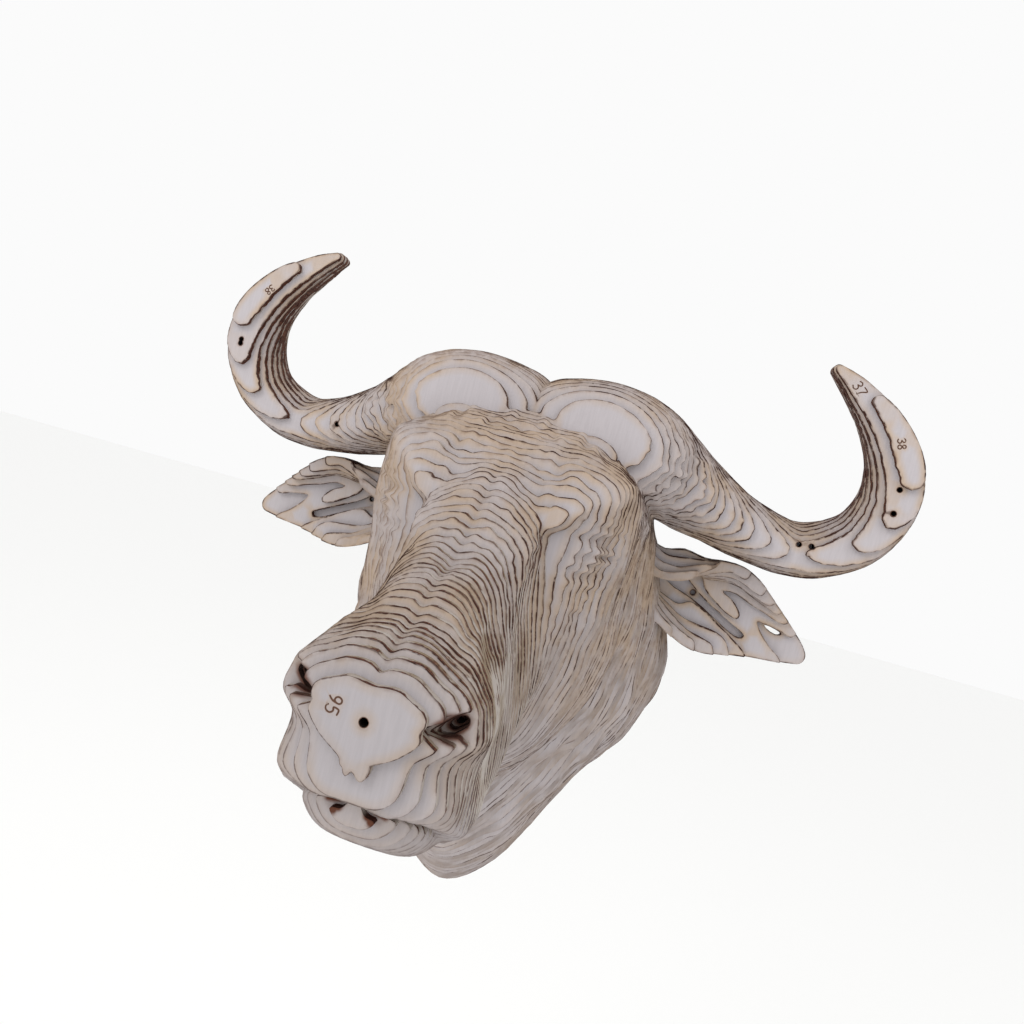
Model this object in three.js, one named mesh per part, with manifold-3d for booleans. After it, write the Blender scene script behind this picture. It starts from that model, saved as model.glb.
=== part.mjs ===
// Buffalo head for a wall, built up of flat sheets that all lie parallel to the wall.
// Millimetres. X is to the viewer's right, Z is up, and the head looks along -Y away from the wall.
// The origin is on the wall, in the middle of the neck's flat back face.
import * as THREE from 'three';
import { mergeVertices } from 'three/addons/utils/BufferGeometryUtils.js';
import Module from 'manifold-3d';

const wasm = await Module();
wasm.setup();

// Driving dimensions
const SHEET = 3; // thickness of one sheet
const SHEET_COUNT = 95; // sheet 1 lies on the wall, sheet 95 is the end of the nose
const SHEETS_PER_PACK = 3; // glued sheets that make one solid here
const NECK_CENTRE = -27; // height of the origin in the outline tables below
const OUTLINE_TOLERANCE = 0.45; // furthest that a simplified outline strays from its curve
const SMALLEST_PIECE = 60; // a loose piece with a smaller outline, in mm2, is left off
const DOWEL_RADIUS = 1.6;
const DOWEL_SIDES = 8;

// The tables give the head in sheet thicknesses, so the whole head follows SHEET. Every row
// starts with or holds a sheet number, counted from the wall.

// Ten rails run along the right half of the head from the nose to the wall: [sheet, x, z].
const HEAD_RAILS = {
  ridge: [[95, 0, -13.2], [93, 0, -10.4], [90, 0, -8.7], [87, 0, -7.6], [84, 0, -5.2], [77, 0, -2.2],
    [70, 0, 4.5], [64, 0, 9.3], [58, 0, 13.8], [52, 0, 18], [48, 0, 19.8], [40, 0, 20.5], [30, 0, 20],
    [20, 0, 18.5], [1, 0, 16]],
  bridge: [[95, 2.6, -13], [92, 3.6, -9.9], [87, 3.4, -8], [84, 3.3, -5.7], [78, 3.4, -2.7],
    [72, 3.5, 1.8], [67, 3.3, 6.3], [62, 4, 10.2], [55, 7, 16], [50, 8, 18], [40, 9, 19], [30, 9, 18.5],
    [1, 8, 14.5]],
  dip: [[95, 4.6, -13.8], [92, 6.9, -11.6], [87, 6.3, -9.4], [84, 5.3, -7.4], [78, 5.2, -4.1],
    [73, 5.2, -0.5], [67, 6.3, 4.6], [63, 6.8, 8.6], [60, 9.6, 12.6], [55, 12, 15], [50, 13.5, 15.5],
    [30, 15.5, 15], [1, 15, 11]],
  brow: [[95, 5.8, -14.8], [92, 9.2, -13.2], [87, 9.4, -12.2], [84, 8.2, -11], [78, 7.2, -8.2],
    [73, 7.4, -4.3], [70, 7.7, 0.4], [67, 8.5, 2.2], [65, 11.2, 6.9], [63, 14.1, 9], [60, 16.2, 10.8],
    [57, 17.5, 11.5], [50, 19.4, 9.5], [40, 20.5, 8], [30, 21.5, 6], [1, 22, 4]],
  socket: [[95, 5.6, -16.3], [92, 9.6, -15.2], [87, 10.8, -15], [84, 10.2, -14.5], [78, 9.4, -12.5],
    [73, 8.1, -6.5], [67, 8.4, -0.5], [65, 8.6, 2.6], [62, 13.6, 1.6], [57, 16.7, 2], [50, 19.8, 2],
    [40, 21.5, 1], [30, 23.5, 0], [1, 25, -3]],
  cheek: [[95, 5.8, -17.2], [92, 9.8, -17.4], [87, 11.3, -17.6], [78, 10.3, -16.5], [73, 9, -11],
    [67, 8.9, -6.5], [62, 12.6, -5.4], [57, 16.2, -5], [50, 19.2, -5], [42, 21.2, -9], [36, 23.5, -11],
    [30, 26, -14], [20, 29.8, -19], [1, 29.5, -20]],
  waist: [[95, 4.4, -19.1], [92, 7.8, -19.9], [87, 10.6, -20.6], [80, 10.9, -23], [75, 10.6, -20],
    [67, 10.6, -13], [57, 15.4, -13], [50, 19, -14.5], [46, 20.4, -16], [42, 19.8, -18], [36, 22, -22],
    [30, 25, -25.5], [20, 27.4, -31], [1, 27, -32]],
  flare: [[95, 1.7, -20.9], [94, 4.7, -23.7], [92, 8.2, -24.5], [87, 10.9, -26.8], [80, 12.3, -29],
    [72, 11.2, -25.5], [62, 11.9, -18.5], [57, 13.2, -22.4], [50, 16.2, -24.5], [46, 16.4, -26],
    [42, 14.5, -29], [36, 16, -36], [30, 18.5, -42], [20, 20.3, -47], [1, 20, -48]],
  jaw: [[95, 0.9, -22.1], [94, 3, -25.2], [92, 5.8, -26.2], [87, 9.6, -28.4], [80, 9.4, -32],
    [67, 9, -28.5], [62, 9, -26], [57, 10, -28.6], [50, 10.2, -33], [42, 8, -39.5], [36, 8.2, -48],
    [30, 8.8, -55.5], [20, 9.5, -62], [1, 9.5, -63]],
  throat: [[95, 0, -22.2], [94, 0, -25.4], [90, 0, -26], [88, 0, -26.2], [84, 0, -31], [80, 0, -35],
    [72, 0, -34.5], [62, 0, -32.5], [52, 0, -37], [46, 0, -41], [42, 0, -46], [36, 0, -55],
    [30, 0, -61.3], [20, 0, -69], [1, 0, -70]],
};

// The lower lip, in the same form.
const CHIN_RAILS = {
  lip: [[91, 0, -27.2], [88, 0, -26.5], [84, 0, -26], [74, 0, -26]],
  side: [[91, 2.6, -27.7], [88, 6.6, -28.8], [82, 8.2, -30.4], [74, 9, -31]],
  corner: [[91, 1.9, -29.1], [88, 4.7, -31.5], [82, 6, -34.2], [74, 6, -35]],
  chin: [[91, 0, -29.6], [88, 0, -32.3], [82, 0, -35.2], [74, 0, -36.5]],
};
const CHIN_SHEETS = [74, 91];

// Stations along the right boss and horn: x, z, half width, foremost sheet, half depth in sheets.
const HORN = [
  [7.6, 17.6, 8.3, 50.8, 14],
  [11, 18, 9.2, 51.2, 14.5],
  [15, 17.4, 9, 50.8, 14],
  [20.5, 15.6, 7.6, 46.6, 12],
  [26.5, 13.2, 6.3, 42.2, 10],
  [33, 10.8, 5.2, 38.4, 8],
  [40, 9.1, 4.6, 36.3, 6.6],
  [47, 9.1, 4.5, 35.5, 6],
  [52.7, 12.8, 4.4, 36.3, 5.7],
  [55.3, 18.5, 4.1, 37.6, 5.5],
  [54.7, 24.8, 3.6, 38.5, 4.9],
  [51.3, 30.6, 2.8, 38.5, 3.9],
  [46.2, 35.2, 1.8, 38.1, 2.8],
  [42.4, 37.6, 0.9, 37.4, 1.9],
];
const HORN_SQUARENESS = 2.6; // 2 makes the horn's section an ellipse, more makes it squarer
const HORN_STEPS = 30;
const HORN_END_STEPS = 6;

// The right ear is a cupped leaf: its outline in each pack that it reaches, by the pack's first sheet.
const EAR = {
  22: [[19, 2], [24.7, 3.2], [28.3, 3.6], [33.8, 3.2], [38.7, 2.4], [42, 0.8], [45.2, -2], [48.5, -5],
    [51.2, -7.8], [51, -9.5], [47.4, -10.2], [41.7, -10.8], [36.6, -11.9], [32.5, -11.9], [29.3, -11.2],
    [24.6, -8], [19, -5]],
  25: [[19, 2.4], [24.7, 3.5], [28.3, 3.9], [33.8, 3.5], [38.7, 2.6], [41.5, 0.8], [43, -1], [38, -0.6],
    [33, -1.5], [28, -3], [25, -5], [29, -8.5], [33, -9.6], [37, -9.4], [38, -10.9], [36.6, -11.6],
    [32.5, -11.6], [29.3, -10.8], [24.6, -7.6], [19, -4]],
  28: [[19, 2.6], [24.7, 3.6], [28.3, 4], [33.5, 3.4], [35.5, 1.6], [30, -0.5], [25, -2.2], [19, -2]],
};

// Dowel holes: x, z, first and last sheet that each one pierces.
const DOWEL_HOLES = [
  [0, -16.9, 91, 95],
  [55.6, 18, 34, 36],
  [46, 10, 34, 36],
  [44.1, 9.8, 34, 36],
  [-56.3, 19.4, 34, 36],
  [-35.1, 9.6, 34, 36],
];

const SHEET_COLOUR = 0xd8cfc8;
const HORN_COLOUR = 0xdcd4ce;
const LIP_COLOUR = 0xd2c6bc;

// The value of a rail at a sheet: a cubic between its keys that never swings past them.
function railPoint(keys, sheet) {
  const rows = [...keys].reverse();
  const slopes = rows.slice(1).map((row, i) => {
    const run = row[0] - rows[i][0];
    return [(row[1] - rows[i][1]) / run, (row[2] - rows[i][2]) / run];
  });
  const tangent = (i, axis) => {
    if (i === 0) return slopes[0][axis];
    if (i === slopes.length) return slopes[i - 1][axis];
    const before = slopes[i - 1][axis];
    const after = slopes[i][axis];
    if (before * after <= 0) return 0;
    return (2 * before * after) / (before + after);
  };
  let i = 0;
  while (i < rows.length - 2 && sheet > rows[i + 1][0]) i += 1;
  const run = rows[i + 1][0] - rows[i][0];
  const s = THREE.MathUtils.clamp((sheet - rows[i][0]) / run, 0, 1);
  const value = (axis) => {
    const start = rows[i][axis + 1];
    const end = rows[i + 1][axis + 1];
    const leave = tangent(i, axis) * run;
    const arrive = tangent(i + 1, axis) * run;
    return (2 * s ** 3 - 3 * s ** 2 + 1) * start + (s ** 3 - 2 * s ** 2 + s) * leave
      + (3 * s ** 2 - 2 * s ** 3) * end + (s ** 3 - s ** 2) * arrive;
  };
  return new THREE.Vector3(value(0), value(1), 0);
}

const toMillimetres = (point) => new THREE.Vector2(point.x * SHEET, (point.y - NECK_CENTRE) * SHEET);

const mirrored = (points) => points.map((point) => new THREE.Vector2(-point.x, point.y)).reverse();

// Drops the points of an open line that lie within the tolerance of the line without them.
function simplifyLine(points) {
  const first = points[0];
  const last = points[points.length - 1];
  const chord = new THREE.Line3(new THREE.Vector3(first.x, first.y, 0), new THREE.Vector3(last.x, last.y, 0));
  const nearest = new THREE.Vector3();
  let worst = 0;
  let split = 0;
  for (let i = 1; i < points.length - 1; i += 1) {
    const point = new THREE.Vector3(points[i].x, points[i].y, 0);
    const distance = chord.closestPointToPoint(point, true, nearest).distanceTo(point);
    if (distance > worst) {
      worst = distance;
      split = i;
    }
  }
  if (worst < OUTLINE_TOLERANCE) return [first, last];
  return [...simplifyLine(points.slice(0, split + 1)).slice(0, -1), ...simplifyLine(points.slice(split))];
}

function simplifyLoop(points) {
  const half = Math.floor(points.length / 2);
  const there = simplifyLine(points.slice(0, half + 1));
  const back = simplifyLine([...points.slice(half), points[0]]);
  return [...there.slice(0, -1), ...back.slice(0, -1)];
}

function smoothLoop(points, stepsPerPoint) {
  const curve = new THREE.CatmullRomCurve3(points, true, 'centripetal');
  return curve.getPoints(points.length * stepsPerPoint).slice(0, -1);
}

// The outline of a shape that is the same left and right, from its rails.
function railOutline(rails, sheet) {
  const right = Object.values(rails).map((keys) => railPoint(keys, sheet));
  const left = right.slice(1, -1).map((point) => new THREE.Vector3(-point.x, point.y, 0)).reverse();
  return simplifyLoop(smoothLoop([...right, ...left], 5).map(toMillimetres));
}

// Points along the horn's middle line, with the half width that the horn has in one sheet.
function hornSection(sheet) {
  const middle = new THREE.CatmullRomCurve3(HORN.map(([x, z]) => new THREE.Vector3(x, z, 0)));
  const sizes = new THREE.CatmullRomCurve3(HORN.map(([, , w, front, depth]) => new THREE.Vector3(w, front, depth)));
  const section = [];
  for (let i = 0; i <= HORN_STEPS; i += 1) {
    const size = sizes.getPoint(i / HORN_STEPS);
    const fromCentre = Math.abs(sheet - (size.y - size.z)) / size.z;
    const roundness = Math.max(0, 1 - fromCentre ** HORN_SQUARENESS) ** (1 / HORN_SQUARENESS);
    section.push({ point: middle.getPoint(i / HORN_STEPS), half: size.x * roundness });
  }
  return section;
}

// Splits the section where the horn lies wholly in front of or behind the sheet.
function hornRuns(sheet) {
  const runs = [[]];
  for (const station of hornSection(sheet)) {
    if (station.half > 0.35) runs[runs.length - 1].push(station);
    else if (runs[runs.length - 1].length) runs.push([]);
  }
  return runs.filter((run) => run.length > 2);
}

// The outline around one run: one side, a round end, the other side, a round end.
function hornOutline(run) {
  const heading = run.map((station, i) => {
    const next = run[Math.min(i + 1, run.length - 1)].point;
    const last = run[Math.max(i - 1, 0)].point;
    return Math.atan2(next.y - last.y, next.x - last.x);
  });
  const offset = (i, turn) => new THREE.Vector2(
    run[i].point.x + run[i].half * Math.cos(heading[i] + turn),
    run[i].point.y + run[i].half * Math.sin(heading[i] + turn),
  );
  const outline = run.map((station, i) => offset(i, -Math.PI / 2));
  for (let j = 1; j < HORN_END_STEPS; j += 1) {
    outline.push(offset(run.length - 1, -Math.PI / 2 + (Math.PI * j) / HORN_END_STEPS));
  }
  run.forEach((station, i) => outline.push(offset(run.length - 1 - i, Math.PI / 2)));
  for (let j = 1; j < HORN_END_STEPS; j += 1) {
    outline.push(offset(0, Math.PI / 2 + (Math.PI * j) / HORN_END_STEPS));
  }
  return simplifyLoop(outline.map(toMillimetres));
}

// A flat solid with the given outline, its back on the plane y = 0 and its front at y = -depth.
function slab(outline, depth) {
  const geometry = new THREE.ExtrudeGeometry(new THREE.Shape(outline), { depth, bevelEnabled: false, steps: 1 });
  geometry.rotateX(Math.PI / 2);
  geometry.deleteAttribute('normal');
  geometry.deleteAttribute('uv');
  const merged = mergeVertices(geometry);
  const mesh = new wasm.Mesh({
    numProp: 3,
    vertProperties: merged.attributes.position.array,
    triVerts: Uint32Array.from(merged.index.array),
  });
  return new wasm.Manifold(mesh);
}

function dowel([x, z], depth) {
  const circle = [];
  for (let i = 0; i < DOWEL_SIDES; i += 1) {
    const angle = (2 * Math.PI * (i + 0.5)) / DOWEL_SIDES;
    const centre = toMillimetres({ x, y: z });
    circle.push(new THREE.Vector2(
      centre.x + DOWEL_RADIUS * Math.cos(angle),
      centre.y + DOWEL_RADIUS * Math.sin(angle),
    ));
  }
  return slab(circle, depth + 2).translate([0, 1, 0]);
}

// All outlines that one pack of sheets is made of.
function packOutlines(first, last) {
  const sheet = (first + last) / 2;
  const outlines = [railOutline(HEAD_RAILS, sheet)];
  if (sheet > CHIN_SHEETS[0] && sheet < CHIN_SHEETS[1]) outlines.push(railOutline(CHIN_RAILS, sheet));
  const rightSide = hornRuns(sheet).map(hornOutline);
  if (EAR[first]) rightSide.push(EAR[first].map(([x, z]) => toMillimetres({ x, y: z })));
  for (const outline of rightSide) outlines.push(outline, mirrored(outline));
  return outlines;
}

function packSolid(first, last) {
  const depth = (last - first + 1) * SHEET;
  let solid = null;
  for (const outline of packOutlines(first, last)) {
    const piece = slab(outline, depth);
    solid = solid ? solid.add(piece) : piece;
  }
  for (const [x, z, from, to] of DOWEL_HOLES) {
    if (first >= from && last <= to) solid = solid.subtract(dowel([x, z], depth));
  }
  return solid;
}

function toGeometry(solid) {
  const mesh = solid.getMesh();
  const geometry = new THREE.BufferGeometry();
  geometry.setAttribute('position', new THREE.BufferAttribute(Float32Array.from(mesh.vertProperties), 3));
  geometry.setIndex(new THREE.BufferAttribute(Uint32Array.from(mesh.triVerts), 1));
  geometry.computeVertexNormals();
  return geometry;
}

function material(colour) {
  return new THREE.MeshStandardMaterial({ color: colour, roughness: 0.85, metalness: 0 });
}

// A loose piece off the middle belongs to a horn, and one below the muzzle is the lower lip.
function pieceName(solid, sheets) {
  const { min, max } = solid.boundingBox();
  if (min[0] > 0) return `horn_right_${sheets}`;
  if (max[0] < 0) return `horn_left_${sheets}`;
  if (max[2] < (-26 - NECK_CENTRE) * SHEET) return `lower_lip_${sheets}`;
  return `sheets_${sheets}`;
}

function pieceMaterial(name) {
  if (name.startsWith('horn')) return material(HORN_COLOUR);
  if (name.startsWith('lower_lip')) return material(LIP_COLOUR);
  return material(SHEET_COLOUR);
}

const head = new THREE.Group();
for (let first = 1; first <= SHEET_COUNT; first += SHEETS_PER_PACK) {
  const last = Math.min(first + SHEETS_PER_PACK - 1, SHEET_COUNT);
  const depth = (last - first + 1) * SHEET;
  const label = `${String(first).padStart(2, '0')}_${String(last).padStart(2, '0')}`;
  for (const solid of packSolid(first, last).decompose()) {
    if (solid.volume() < SMALLEST_PIECE * depth) continue;
    const name = pieceName(solid, label);
    const mesh = new THREE.Mesh(toGeometry(solid), pieceMaterial(name));
    mesh.name = name;
    mesh.position.y = -(first - 1) * SHEET;
    head.add(mesh);
  }
}

export default head;
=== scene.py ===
# Buffalo head for a wall, built of flat laser-cut sheets that are stacked parallel to the wall.
# A smooth head, horns and ears are sliced sheet by sheet, so the terraces follow the form.
import math
import bpy
import numpy as np
from mathutils import Matrix, Vector
from mathutils.geometry import delaunay_2d_cdt


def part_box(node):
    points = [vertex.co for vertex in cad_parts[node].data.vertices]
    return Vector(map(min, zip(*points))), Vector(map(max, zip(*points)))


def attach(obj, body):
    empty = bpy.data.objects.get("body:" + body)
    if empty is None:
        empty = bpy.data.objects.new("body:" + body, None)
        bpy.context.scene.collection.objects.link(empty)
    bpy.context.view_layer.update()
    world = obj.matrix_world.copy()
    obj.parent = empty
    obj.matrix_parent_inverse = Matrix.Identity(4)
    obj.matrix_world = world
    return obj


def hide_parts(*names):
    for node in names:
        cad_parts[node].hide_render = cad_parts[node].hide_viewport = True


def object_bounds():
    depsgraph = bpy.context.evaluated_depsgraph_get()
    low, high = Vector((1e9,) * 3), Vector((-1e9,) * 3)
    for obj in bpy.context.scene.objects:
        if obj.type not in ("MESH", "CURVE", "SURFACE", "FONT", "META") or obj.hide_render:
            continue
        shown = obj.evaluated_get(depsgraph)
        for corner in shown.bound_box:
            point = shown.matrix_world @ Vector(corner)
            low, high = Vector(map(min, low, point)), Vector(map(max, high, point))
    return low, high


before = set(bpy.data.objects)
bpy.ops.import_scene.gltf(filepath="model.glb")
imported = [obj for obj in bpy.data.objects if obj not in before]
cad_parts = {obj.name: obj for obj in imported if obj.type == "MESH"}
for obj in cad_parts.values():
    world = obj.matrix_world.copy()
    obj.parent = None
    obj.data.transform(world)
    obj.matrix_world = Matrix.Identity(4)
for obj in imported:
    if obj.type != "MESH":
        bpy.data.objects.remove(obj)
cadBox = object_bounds()
bpy.ops.object.select_all(action="DESELECT")
print("frame loaded:", len(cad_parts), "CAD nodes")

# The outlines are in sheet thicknesses: x to the right, z up, and k is the sheet counted from the wall.
noseLow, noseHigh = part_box("sheets_94_95")
sheetThickness = (noseHigh.y - noseLow.y) / 2
sheetCount = round(-noseLow.y / sheetThickness)
neckCentre = -27  # height of the origin in the outline tables
sheetsPerPack = 3  # sheets that one CAD node stands for

grid = {"step": 0.25, "halfWidth": 61, "low": -72, "high": 41, "margin": 2.5, "far": 6}

# Rails along the right half of the head, from the nose to the wall: [k, x, z]
head = {
    "ridge": [
        [95, 0, -13.2], [94, 0, -11.5], [93, 0, -10.4], [92, 0, -9.7], [90, 0, -8.7], [87, 0, -7.6],
        [84, 0, -5.2], [80, 0, -3.1], [77, 0, -2.2], [74, 0, 0.3], [70, 0, 4.5], [67, 0, 7.1], [64, 0, 9.3],
        [61, 0, 11.4], [58, 0, 13.8], [55, 0, 16], [52, 0, 18], [48, 0, 19.8], [40, 0, 20.5],
        [30, 0, 20], [20, 0, 18.5], [1, 0, 16]],
    "bridge": [
        [95, 2.6, -13], [94, 3.2, -11.5], [92, 3.6, -9.9], [87, 3.4, -8], [84, 3.3, -5.7],
        [78, 3.4, -2.7], [75, 3.3, -0.9], [72, 3.5, 1.8], [70, 3.7, 3.8], [67, 3.3, 6.3], [65, 3.4, 7.6],
        [64, 3.6, 8.4], [62, 4, 10.2], [60, 5, 12.5], [55, 7, 16], [50, 8, 18], [40, 9, 19],
        [30, 9, 18.5], [1, 8, 14.5]],
    "dip": [
        [95, 4.6, -13.8], [94, 5.6, -12.7], [92, 6.9, -11.6], [87, 6.3, -9.4], [84, 5.3, -7.4],
        [78, 5.2, -4.1], [75, 5.4, -2.3], [73, 5.2, -0.5], [70, 6, 2.6], [67, 6.3, 4.6], [66, 5.9, 5.7],
        [65, 7.1, 6.1], [64, 6.9, 7.2], [63, 7.1, 8.8], [62, 7.1, 10], [61, 8.2, 11.6], [60, 9.6, 12.7],
        [55, 12, 15], [50, 13.5, 15.5], [40, 15, 15.5], [30, 15.5, 15], [1, 15, 11]],
    "lobeTop": [
        [95, 5.3, -14.2], [94, 6.5, -13.3], [92, 8.2, -12.3], [87, 8.1, -10.5], [84, 6.9, -8.9],
        [78, 6.3, -5.9], [75, 6.4, -3.5], [73, 6.4, -2.1], [70, 7, 1.6], [67, 7, 4.1], [66, 6.9, 5.2],
        [65, 9.1, 6.8], [64, 9.6, 8.6], [63, 9.6, 10], [62, 10.2, 11], [61, 11.6, 12],
        [60, 13.2, 12.3], [57, 15.3, 13], [54, 15.8, 13.6], [50, 17, 13.2], [40, 18.3, 12.5],
        [30, 19.2, 11.3], [1, 19.5, 8.2]],
    "brow": [
        [95, 5.8, -14.8], [94, 7.2, -14.2], [92, 9.2, -13.2], [87, 9.4, -12.2], [84, 8.2, -11],
        [78, 7.2, -8.2], [75, 7.1, -5.1], [73, 7.4, -4.3], [70, 7.7, 0.4], [68, 8, 1.8], [67, 7.7, 3.2],
        [66, 7.7, 4.4], [65, 10.7, 6.2], [64, 12.3, 7.2], [63, 13.3, 8], [62, 14.2, 8.6], [61, 15.2, 9.6],
        [60, 16, 10.4], [57, 17.5, 11.5], [54, 18.6, 11], [50, 19.4, 9.5], [40, 20.5, 8], [30, 21.5, 6],
        [1, 22, 4]],
    "lobeUnder": [
        [95, 5.9, -15.6], [94, 7.2, -15.1], [92, 9.6, -14.2], [87, 10.4, -13.6], [84, 9.4, -12.8],
        [78, 8.4, -10.4], [75, 7.9, -7.3], [73, 7.8, -5.4], [70, 7.9, -1], [67, 8.1, 1.6], [66, 7.9, 3.2],
        [65, 9.7, 4.6], [64, 11.1, 4.8], [63, 12.3, 5.3], [62, 13.9, 5.6], [61, 15.1, 5.9], [60, 16.1, 6.6],
        [57, 17.6, 7], [54, 19.2, 7], [50, 20, 6], [40, 21.3, 4.6], [30, 22.8, 3.1], [1, 23.8, 0.6]],
    "socket": [
        [95, 5.6, -16.3], [94, 6.9, -15.9], [92, 9.6, -15.2], [87, 10.8, -15], [84, 10.2, -14.5],
        [78, 9.4, -12.5], [75, 8.6, -9.5], [73, 8.1, -6.5], [70, 8, -2.4], [67, 8.3, -0.5],
        [66, 8.4, 1.4], [65, 8.3, 2.5], [64, 9, 2.4], [63, 11, 1.7], [62, 12.6, 2.2], [61, 13.8, 2],
        [60, 14.9, 2.1], [57, 16.7, 2], [55, 18.9, 2.5], [50, 19.8, 2], [40, 21.5, 1], [30, 23.5, 0],
        [1, 25, -3]],
    "cheek": [
        [95, 5.8, -17.2], [94, 7.4, -17.6], [92, 9.8, -17.4], [87, 11.3, -17.6], [84, 11, -18],
        [78, 10.3, -16.5], [75, 9.6, -13.5], [73, 9, -11], [70, 8.6, -8], [67, 8.9, -6.5],
        [65, 9.6, -5.4], [64, 10.3, -5.4], [63, 11.3, -5.2], [62, 12.3, -5.6], [57, 16.2, -5],
        [55, 18.2, -4], [50, 19.2, -5], [46, 20.4, -7], [42, 21.2, -9], [36, 23.5, -11], [30, 26, -14],
        [20, 29.8, -19], [1, 29.5, -20]],
    "waist": [
        [95, 4.4, -19.1], [94, 5.4, -20], [92, 7.8, -19.9], [87, 10.3, -20.6], [84, 10.5, -22],
        [80, 10.4, -23], [75, 10.6, -20], [70, 10.4, -15], [67, 10.6, -13], [62, 12.4, -12.8],
        [57, 15.4, -13], [55, 17, -14], [50, 19, -14.5], [46, 20.4, -16], [42, 19.8, -18],
        [36, 22, -22], [30, 25, -25.5], [20, 26.8, -30.6], [1, 27, -32]],
    "flare": [
        [95, 1.7, -20.9], [94, 4.7, -23.7], [93, 6.6, -24], [92, 8.2, -24.5], [90, 9.6, -25.6],
        [87, 10.2, -26.8], [84, 10.8, -28], [80, 11.1, -29], [77, 10.8, -28.5], [72, 11.2, -25.5],
        [67, 11.6, -21], [62, 11.9, -18.5], [57, 13.2, -22.4], [55, 14.8, -22.5], [50, 16.2, -24.5],
        [46, 16.4, -26], [42, 14.5, -29], [36, 15.8, -36], [30, 17.4, -41.2], [20, 17.5, -45],
        [1, 19, -47.5]],
    "jaw": [
        [95, 1.3, -21.6], [94, 3, -25.2], [92, 5.8, -26.2], [90, 7.6, -27], [87, 9.6, -28.4],
        [84, 10.4, -29.8], [80, 9.4, -32], [77, 9, -32.5], [72, 9, -31], [67, 9, -28.5],
        [62, 9, -26], [57, 10, -28.6], [55, 10.8, -29.5], [50, 10.2, -33], [46, 9.6, -35.4],
        [42, 8, -39.5], [36, 8.2, -48], [30, 8.8, -55.5], [20, 9.5, -62], [1, 9.5, -63]],
    "throat": [
        [95, 0, -21.7], [94, 0, -25.4], [92, 0, -25.8], [90, 0, -26], [88, 0, -26.2], [86, 0, -28],
        [84, 0, -31], [80, 0, -35], [77, 0, -36], [72, 0, -34.5], [67, 0, -33], [62, 0, -32.5],
        [57, 0, -34], [52, 0, -37], [46, 0, -41], [42, 0, -46], [36, 0, -55], [30, 0, -61.3],
        [20, 0, -69], [1, 0, -70]],
}

lowerLip = {
    "lip": [[91, 0, -26], [90, 0, -26.2], [88, 0, -26.3], [84, 0, -26], [74, 0, -26]],
    "dent": [
        [91, 1.3, -27.6], [90, 2.2, -27.3], [89, 2.9, -27.3], [88, 3.4, -27.2], [86, 4.5, -27.4],
        [82, 5, -27.6], [74, 5.5, -28]],
    "side": [
        [91, 2.5, -27.9], [90, 4.5, -27.8], [89, 5.8, -28.2], [88, 6.6, -28.8], [86, 7.4, -29.6],
        [82, 8.2, -30.4], [74, 9, -31]],
    "corner": [
        [91, 1.7, -28.9], [90, 3, -29.9], [89, 4, -30.8], [88, 4.6, -31.4], [86, 5.4, -32.5],
        [82, 6, -34.2], [74, 6, -35]],
    "chin": [
        [91, 0, -29.2], [90, 0, -30.5], [89, 0, -31.6], [88, 0, -32.2], [86, 0, -33.3], [82, 0, -35.2],
        [74, 0, -36.5]],
}
lipSheets = (74, 91)

# Stations along the right boss and horn: [x, z, half width, foremost sheet, half depth, squareness of
# the inner side and of the outer side, and how far the ridge lies outward as a share of the half width]
horn = {
    "stations": [
        [4.6, 18.4, 7.8, 50.5, 14, 3, 3, 0], [8, 18, 8.8, 51.6, 14.5, 3, 3, 0],
        [11.5, 17.7, 9.2, 51.8, 14.5, 3, 3, 0], [15.5, 17.1, 9, 50.9, 14, 2.6, 2.6, 0],
        [20.5, 15.6, 7.6, 46.8, 12, 2.3, 2.3, 0], [26.5, 13.2, 6.3, 42.2, 10, 2.1, 2.3, 0],
        [33, 10.8, 5.3, 38.2, 8, 2.1, 2.6, 0], [40, 9.1, 4.7, 35.7, 6.6, 1.6, 2.8, -0.1],
        [43.5, 8.8, 4.6, 34.8, 6.2, 1.4, 3, -0.1], [47.5, 9.6, 4.6, 35.2, 6, 1.35, 3, -0.1],
        [52.6, 12.9, 4.5, 36.2, 5.8, 1.4, 3.2, -0.1], [55.1, 18.5, 4.2, 37.25, 5.6, 1.6, 6, 0],
        [54.4, 24.8, 3.7, 38.3, 5.1, 1.9, 16, 0.35], [50.9, 30.5, 2.9, 38.25, 4.1, 2, 16, 0.4],
        [45.9, 35.1, 1.8, 37.8, 3, 2.1, 6, 0.1], [42.4, 37.5, 0.9, 37.3, 2, 2.2, 3, 0]],
    "stepsPerStation": 8,
    "blend": 0.6,
}
bossCap = {"sheet": 52, "outline": [[8.3, 16.9], [9.4, 17.4], [11.1, 17.3], [13, 16.5], [13.9, 15.4],
                                    [13.8, 14.5], [13, 13.6], [11, 12], [8, 12]]}

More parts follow.
